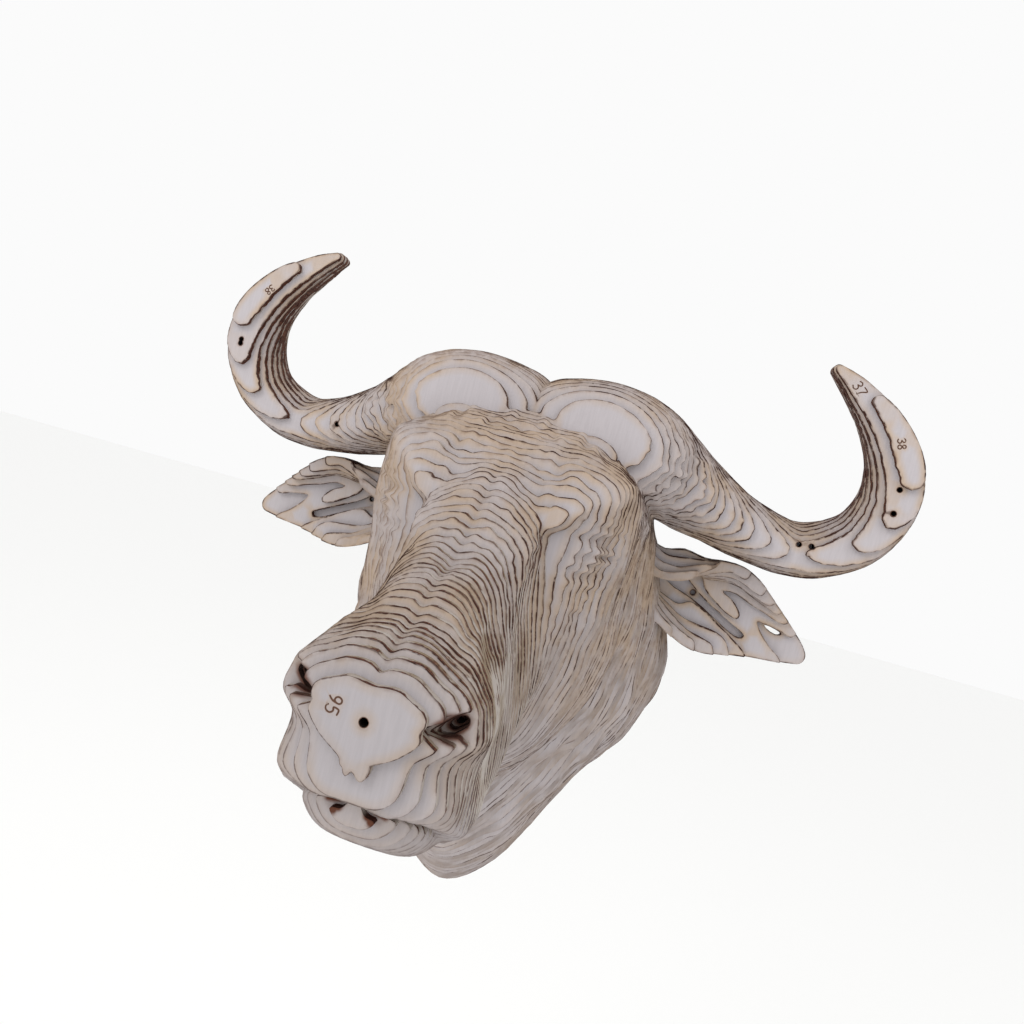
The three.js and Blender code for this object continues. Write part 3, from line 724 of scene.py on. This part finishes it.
# A closed flat solid: the face, the same face turned round behind it, and the cut edge between them
def solidSheet(name, k, flat, values, faces, materials):
    used, faces = np.unique(faces, return_inverse=True)
    faces = faces.reshape(-1, 3)
    flat, values = flat[used], values[used]
    count = len(flat)
    front, back = -k * sheetThickness, -(k - 1) * sheetThickness
    points = np.zeros((2 * count, 3))
    points[:, 0] = np.tile(flat[:, 0] * sheetThickness, 2)
    points[:, 2] = np.tile((flat[:, 1] - neckCentre) * sheetThickness, 2)
    points[:count, 1] = front + values[:, 2] * sheetThickness
    points[count:, 1] = back
    sides = np.concatenate([faces[:, [0, 1]], faces[:, [1, 2]], faces[:, [2, 0]]])
    key = sides[:, 0] * count + sides[:, 1]
    rim = sides[~np.isin(key, sides[:, 1] * count + sides[:, 0])]
    walls = np.stack([rim[:, 1], rim[:, 0], rim[:, 0] + count, rim[:, 1] + count], 1)
    polygons = faces.tolist() + (faces[:, ::-1] + count).tolist() + walls.tolist()
    mesh = bpy.data.meshes.new(name)
    mesh.from_pydata(points.tolist(), [], polygons)
    indices = np.zeros(len(polygons), np.int32)
    indices[2 * len(faces):] = 1
    mesh.polygons.foreach_set("material_index", indices)
    reach = mesh.attributes.new("reach", "FLOAT", "POINT")
    reach.data.foreach_set("value", np.tile(values[:, 0] * sheetThickness * 1000, 2).astype(np.float32))
    burn = mesh.attributes.new("burn", "FLOAT", "POINT")
    burn.data.foreach_set("value", np.tile(values[:, 1], 2).astype(np.float32))
    mesh.polygons.foreach_set("use_smooth", np.ones(len(polygons), bool))
    mesh.set_sharp_from_angle(angle=math.radians(30))
    piece = bpy.data.objects.new(name, mesh)
    bpy.context.scene.collection.objects.link(piece)
    for material in materials:
        mesh.materials.append(material)
    return piece


# The CAD node that stands for a piece's pack of sheets
def packNode(kind, k):
    first = sheetsPerPack * ((k - 1) // sheetsPerPack) + 1
    last = min(first + sheetsPerPack - 1, sheetCount)
    node = f"{kind}_{first:02d}_{last:02d}"
    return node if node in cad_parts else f"sheets_{first:02d}_{last:02d}"


loose = {"lipTop": -25.8, "lipLow": -27, "earInside": 19, "hornLow": 6}


# What a loose piece of a sheet belongs to, and its CAD node's name
def pieceKind(flat):
    low, high = flat.min(0), flat.max(0)
    if low[0] < 0 < high[0]:
        isLip = high[1] < loose["lipTop"] and low[1] < loose["lipLow"]
        return ("lower_lip", "lower_lip") if isLip else ("sheet", "sheets")
    side = "right" if low[0] > 0 else "left"
    if (low[1] + high[1]) / 2 < loose["hornLow"]:
        isEar = max(high[0], -low[0]) > loose["earInside"]
        return (f"ear_{side}", "sheets") if isEar else ("lower_lip", "lower_lip")
    return f"horn_{side}", f"horn_{side}"


# The node tree of a material: its shader, a short way to add nodes, and its links
def tree(material):
    material.use_nodes = True
    nodes, links = material.node_tree.nodes, material.node_tree.links
    shader = nodes["Principled BSDF"]

    def add(kind, inputs=None, out=0, **settings):
        node = nodes.new(kind)
        for name, value in settings.items():
            setattr(node, name, value)
        for name, value in (inputs or {}).items():
            if isinstance(value, bpy.types.NodeSocket):
                links.new(value, node.inputs[name])
            else:
                node.inputs[name].default_value = value
        return node.outputs[out]

    return shader, add, links


# A colour given in display values, as the linear one that a shader takes
def colour(*shown):
    shares = [value / 255 for value in shown]
    return (*[c / 12.92 if c <= 0.04045 else ((c + 0.055) / 1.055)**2.4 for c in shares], 1)


def maths(add, operation, a, b=0.0):
    return add("ShaderNodeMath", {0: a, 1: b}, operation=operation)


def times(add, a, b):
    return maths(add, "MULTIPLY", a, b)


# A value carried from one range to another, with soft ends
def ranged(add, value, fromMin, fromMax, toMin, toMax):
    return add("ShaderNodeMapRange", {"Value": value, "From Min": fromMin, "From Max": fromMax,
                                      "To Min": toMin, "To Max": toMax}, interpolation_type="SMOOTHSTEP")


def noise(add, place, scale, detail, roughness):
    return add("ShaderNodeTexNoise", {"Vector": place, "Scale": scale, "Detail": detail,
                                      "Roughness": roughness}, out="Fac")


# Noise drawn out along the axes: the larger the scale on an axis, the finer it is
def stretched(add, place, scale, detail, roughness):
    return noise(add, add("ShaderNodeMapping", {"Vector": place, "Scale": scale}), 1, detail, roughness)


def mixedValue(add, factor, a, b):
    return add("ShaderNodeMix", {"Factor": factor, "A": a, "B": b}, out="Result")


def mixed(add, factor, a, b, kind="MIX"):
    return add("ShaderNodeMix", {"Factor": factor, "A": a, "B": b}, out="Result",
               data_type="RGBA", blend_type=kind)


def attribute(add, name):
    return add("ShaderNodeAttribute", attribute_name=name, out="Fac")


# The place on the object in metres, whole and as across, deep and height
def places(add):
    place = add("ShaderNodeTexCoord", out="Object")
    return place, *[add("ShaderNodeSeparateXYZ", {"Vector": place}, out=axis) for axis in "XYZ"]


# Spots beside which the openings are scorched, with painted shade deep inside them, on the right and
# mirrored on the left, in metres
scorchedAndShaded = {"nostril": (0.0240, 0, 0.0340), "mouth": (0.0070, 0, -0.0010)}


# Where the marks differ: horns and ears, the quiet sides of cheeks and neck with dashes that change
# from sheet to sheet, and the openings of nostrils and mouth
def regions(add, across, deep, height):
    aside = maths(add, "ABSOLUTE", across)
    beside = times(add, ranged(add, aside, 0.062, 0.078, 0, 1),
                   ranged(add, height, 0.082, 0.095, 0, 1))
    outward = maths(add, "MAXIMUM", beside, ranged(add, aside, 0.090, 0.100, 0, 1))
    behind = times(add, ranged(add, deep, -0.174, -0.160, 0, 1),
                   ranged(add, height, 0.080, 0.100, 1, 0))
    flank = times(add, ranged(add, deep, -0.245, -0.225, 0, 0.7),
                  ranged(add, height, 0.035, 0.060, 1, 0))
    quiet = times(add, maths(add, "MAXIMUM", behind, flank), maths(add, "SUBTRACT", 1, outward))
    number = maths(add, "FLOOR", maths(add, "ADD", maths(add, "DIVIDE", deep, -sheetThickness), 0.5))
    along = add("ShaderNodeCombineXYZ", {"X": times(add, across, 45), "Y": times(add, number, 7.3),
                                         "Z": times(add, height, 45)})
    streak = noise(add, along, 1, 2, 0.5)
    dashes = ranged(add, streak, 0.48, 0.60, 0.04, 1)
    facing = add("ShaderNodeCombineXYZ", {"X": aside, "Z": height})
    fromNostril, fromMouth = [
        add("ShaderNodeVectorMath", {0: facing, 1: scorchedAndShaded[name]}, out="Value", operation="DISTANCE")
        for name in ("nostril", "mouth")]
    openings = maths(add, "MAXIMUM", ranged(add, fromNostril, 0.0035, 0.0064, 0.9, 0),
                     ranged(add, fromMouth, 0.0028, 0.0046, 1, 0))
    openings = times(add, openings, ranged(add, deep, -0.256, -0.250, 1, 0))
    openings = times(add, openings, ranged(add, deep, -0.2835, -0.2825, 0, 1))
    return outward, quiet, dashes, openings, streak


# Gives a material its colour, fine relief and dullness
def dress(shader, add, links, base, relief, wood):
    bump = add("ShaderNodeBump", {"Height": relief, "Strength": wood["relief"], "Distance": 0.0001})
    links.new(base, shader.inputs["Base Color"])
    links.new(bump, shader.inputs["Normal"])
    shader.inputs["Roughness"].default_value = wood["roughness"]
    shader.inputs["Specular IOR Level"].default_value = 0.25


faceWood = {"grey": colour(188, 182, 185), "warm": colour(188, 167, 147), "smoke": colour(128, 100, 82),
            "char": colour(54, 29, 22), "engraved": colour(104, 76, 62), "opening": colour(100, 58, 40),
            "taupe": colour(126, 112, 102), "roughness": 0.82, "relief": 0.12}


# Pale wood faces: grey in the middle, warmer where smoke drifted in from the cut, brown at its lip; painted
# shade darkens them towards the nose, on the lip lines to the right and inside the openings
def faceMaterial():
    material = bpy.data.materials.new("sheetFace")
    shader, add, links = tree(material)
    place, across, deep, height = places(add)
    reach = attribute(add, "reach")
    drift = noise(add, place, 38, 3, 0.6)
    blotch = noise(add, place, 230, 3, 0.6)
    slow = noise(add, place, 75, 2, 0.6)
    grain = stretched(add, place, (1100, 300, 90), 4, 0.65)
    outward, quiet, dashes, openings, streak = regions(add, across, deep, height)
    upper = ranged(add, height, -0.01, 0.06, 0.40, 1)
    haze = times(add, ranged(add, reach, 0.1, 4.2, 1, 0), upper)
    patchy = ranged(add, drift, 0.36, 0.62, 0.30, 1)
    besideCut = times(add, quiet, ranged(add, reach, 1.5, 4.5, 1, 0))
    shade = times(add, besideCut, ranged(add, streak, 0.34, 0.60, 0.55, 0))
    plain = mixed(add, shade, faceWood["grey"], faceWood["taupe"])
    base = mixed(add, times(add, haze, patchy), plain, faceWood["warm"])
    near = ranged(add, reach, 0, 1.5, 0.55, 0)
    smoke = times(add, times(add, near, upper), ranged(add, blotch, 0.38, 0.68, 0, 1))
    smoked = mixed(add, smoke, base, faceWood["smoke"])
    # Soot beside the nostrils and mouth, dark brown inside them as painted shade in the recesses
    sootAndShade = times(add, openings, ranged(add, reach, 0.3, 1.7, 1, 0.2))
    sootedAndShaded = mixed(add, sootAndShade, smoked, faceWood["opening"])
    wider = ranged(add, outward, 0, 1, 1, 1.5)
    lipWidth = times(add, ranged(add, slow, 0.36, 0.62, 0.20, 0.60), wider)
    lip = ranged(add, maths(add, "DIVIDE", reach, lipWidth), 0.3, 1, 1, 0)
    # Lip lines are char; they are kept faint on the left and low down, and full on the right and up high,
    # where the extra darkness is painted shade in the gaps between sheets
    shadeBySide = times(add, ranged(add, across, -0.05, -0.012, 0.28, 1),
                  ranged(add, height, -0.01, 0.03, 0.38, 1))
    strength = maths(add, "MAXIMUM", shadeBySide, outward)
    strength = times(add, strength, ranged(add, streak, 0.38, 0.58, 0.60, 1.20))
    strength = mixedValue(add, quiet, strength, dashes)
    strength = times(add, strength, ranged(add, blotch, 0.36, 0.54, 0.30, 1))
    # The lip line: char, with painted gap shade where the side factor is full
    burnt = mixed(add, times(add, lip, strength), sootedAndShaded, faceWood["char"])
    # Fine grain, and painted shade that darkens the faces towards the nose, most on the foremost sheets
    grainAndDepthShade = times(add, ranged(add, grain, 0.3, 0.7, 0.96, 1.03), ranged(add, deep, -0.285, -0.15, 0.90, 1.03))
    grainAndDepthShade = times(add, grainAndDepthShade, ranged(add, deep, -0.285, -0.276, 0.92, 1))
    grainedAndShaded = mixed(add, 1, burnt, grainAndDepthShade, "MULTIPLY")
    engraved = ranged(add, attribute(add, "burn"), 0.25, 0.9, 0, 1)
    marked = mixed(add, engraved, grainedAndShaded, faceWood["engraved"])
    dress(shader, add, links, marked, grain, faceWood)
    return material


cutWood = {"dark": colour(60, 30, 22), "holeCharAndShade": colour(26, 17, 14), "brown": colour(104, 62, 42),
           "olive": colour(134, 118, 98), "pale": colour(169, 160, 153), "taupe": colour(110, 96, 88),
           "roughness": 0.78, "relief": 0.3}


# The scorched cut edge: a dark line at the front lip, paler wood behind it, and darker on the horns; dark
# brown at the openings and near-black in the dowel holes, char with painted shade
def cutMaterial():
    material = bpy.data.materials.new("scorchedEdge")
    shader, add, links = tree(material)
    place, across, deep, height = places(add)
    level = maths(add, "FRACT", maths(add, "DIVIDE", deep, -sheetThickness))
    slow = noise(add, place, 60, 3, 0.6)
    beam = stretched(add, place, (2400, 120, 2400), 2, 0.5)
    outward, quiet, dashes, openings, streak = regions(add, across, deep, height)
    start = maths(add, "SUBTRACT", ranged(add, slow, 0.36, 0.64, 0.72, 0.30), times(add, outward, 0.45))
    start = maths(add, "ADD", start, ranged(add, streak, 0.38, 0.60, 0.22, -0.14))
    start = mixedValue(add, quiet, start, ranged(add, dashes, 0, 1, 1.15, 0.72))
    ragged = ranged(add, noise(add, place, 420, 2, 0.5), 0.3, 0.7, -0.16, 0.16)
    ragged = maths(add, "ADD", ragged, ranged(add, height, 0, 0.07, 0.26, 0))
    depth = maths(add, "SUBTRACT", level, maths(add, "ADD", start, ragged))
    dark = ranged(add, depth, -0.08, 0.12, 0, 1)
    warmth = times(add, ranged(add, slow, 0.42, 0.62, 0, 1), ranged(add, height, 0, 0.05, 0.4, 1))
    plain = mixed(add, warmth, cutWood["pale"], cutWood["olive"])
    wood = mixed(add, times(add, quiet, ranged(add, streak, 0.36, 0.56, 0.9, 0.1)), plain, cutWood["taupe"])
    char = mixed(add, ranged(add, beam, 0.35, 0.7, 0, 0.8), cutWood["dark"], cutWood["brown"])
    # Dark char at the nostrils and mouth, which also paints the shade in these recesses
    sootedAndShaded = mixed(add, openings, mixed(add, dark, wood, char), cutWood["dark"])
    # Near-black in the dowel holes: char, and painted shade deep inside the holes
    base = mixed(add, attribute(add, "burn"), sootedAndShaded, cutWood["holeCharAndShade"])
    dress(shader, add, links, base, beam, cutWood)
    return material


# One solid for each sheet, and for each loose piece of horn or lip
def cutSheets():
    materials = [faceMaterial(), cutMaterial()]
    triangles = 0
    for k in range(1, sheetCount + 1):
        cutSheet = triangulated(k, wholeSheet(k))
        if cutSheet is None:
            continue
        flat, values, triangleList = cutSheet
        group = islands(triangleList, len(flat))
        pieces = {}
        for number in np.unique(group):
            own = triangleList[group == number]
            pieces.setdefault(pieceKind(flat[np.unique(own)]), []).append(own)
        for (kind, nodeKind), parts in pieces.items():
            piece = solidSheet(f"{kind}_{k:02d}", k, flat, values, np.concatenate(parts), materials)
            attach(piece, "root")
            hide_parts(packNode(nodeKind, k))
            triangles += len(piece.data.loops) - 2 * len(piece.data.polygons)
    return triangles


print("sheets cut:", cutSheets(), "triangles")

# Camera at the photograph's viewing point, in sheets and pixels
view = {"place": (21.657, -167.665, 10.612), "turn": (0.03492, 0.18206, 0.26064), "focal": 802.1,
        "imageWidth": 1024, "sensor": 36, "nearest": 0.01}


def addCamera():
    place = (Vector(view["place"]) - Vector((0, 0, neckCentre))) * sheetThickness
    bpy.ops.object.camera_add(location=place)
    camera = bpy.context.object
    axis = Vector(view["turn"])
    turned = np.array(Matrix.Rotation(axis.length, 3, axis))
    right, down, forward = turned @ np.array([[1, 0, 0], [0, 0, -1], [0, 1, 0]])
    camera.rotation_euler = Matrix(np.stack([right, -down, -forward], 1).tolist()).to_euler()
    camera.data.sensor_width = view["sensor"]
    camera.data.lens = view["focal"] / view["imageWidth"] * camera.data.sensor_width
    camera.data.clip_start = view["nearest"]
    bpy.context.scene.camera = camera


studio = {"floorDrop": 0.6, "size": 14, "paper": colour(250, 250, 249), "roughness": 0.9, "sky": 0.965,
          "aim": (0, -0.15, 0.03),
          "lights": {"key": {"at": (-0.9, -1.4, 1.3), "size": 1, "power": 9, "tint": (1, 0.98, 0.95)},
                     "rim": {"at": (0.9, -0.6, 1.1), "size": 0.8, "power": 2.5, "tint": (0.95, 0.97, 1)}}}


# A pale floor, a white sky and soft lights
def addStudio():
    floorHeight = cadBox[0][2] - studio["floorDrop"]
    bpy.ops.mesh.primitive_plane_add(size=studio["size"], location=(0, 0, floorHeight))
    floor = bpy.context.object
    floor.name = "floor"
    material = bpy.data.materials.new("floorPaper")
    shader = tree(material)[0]
    shader.inputs["Base Color"].default_value = studio["paper"]
    shader.inputs["Roughness"].default_value = studio["roughness"]
    floor.data.materials.append(material)
    world = bpy.data.worlds.new("studio")
    bpy.context.scene.world = world
    world.use_nodes = True
    background = world.node_tree.nodes["Background"]
    background.inputs["Color"].default_value = (1, 1, 1, 1)
    background.inputs["Strength"].default_value = studio["sky"]
    for name, light in studio["lights"].items():
        bpy.ops.object.light_add(type="AREA", location=light["at"])
        lamp = bpy.context.object
        lamp.name = name
        lamp.data.size = light["size"]
        lamp.data.energy = light["power"]
        lamp.data.color = light["tint"]
        lamp.rotation_euler = (Vector(studio["aim"]) - lamp.location).to_track_quat("-Z", "Y").to_euler()
    bpy.context.scene.view_settings.view_transform = "Standard"


addCamera()
addStudio()
print("camera and lights set")
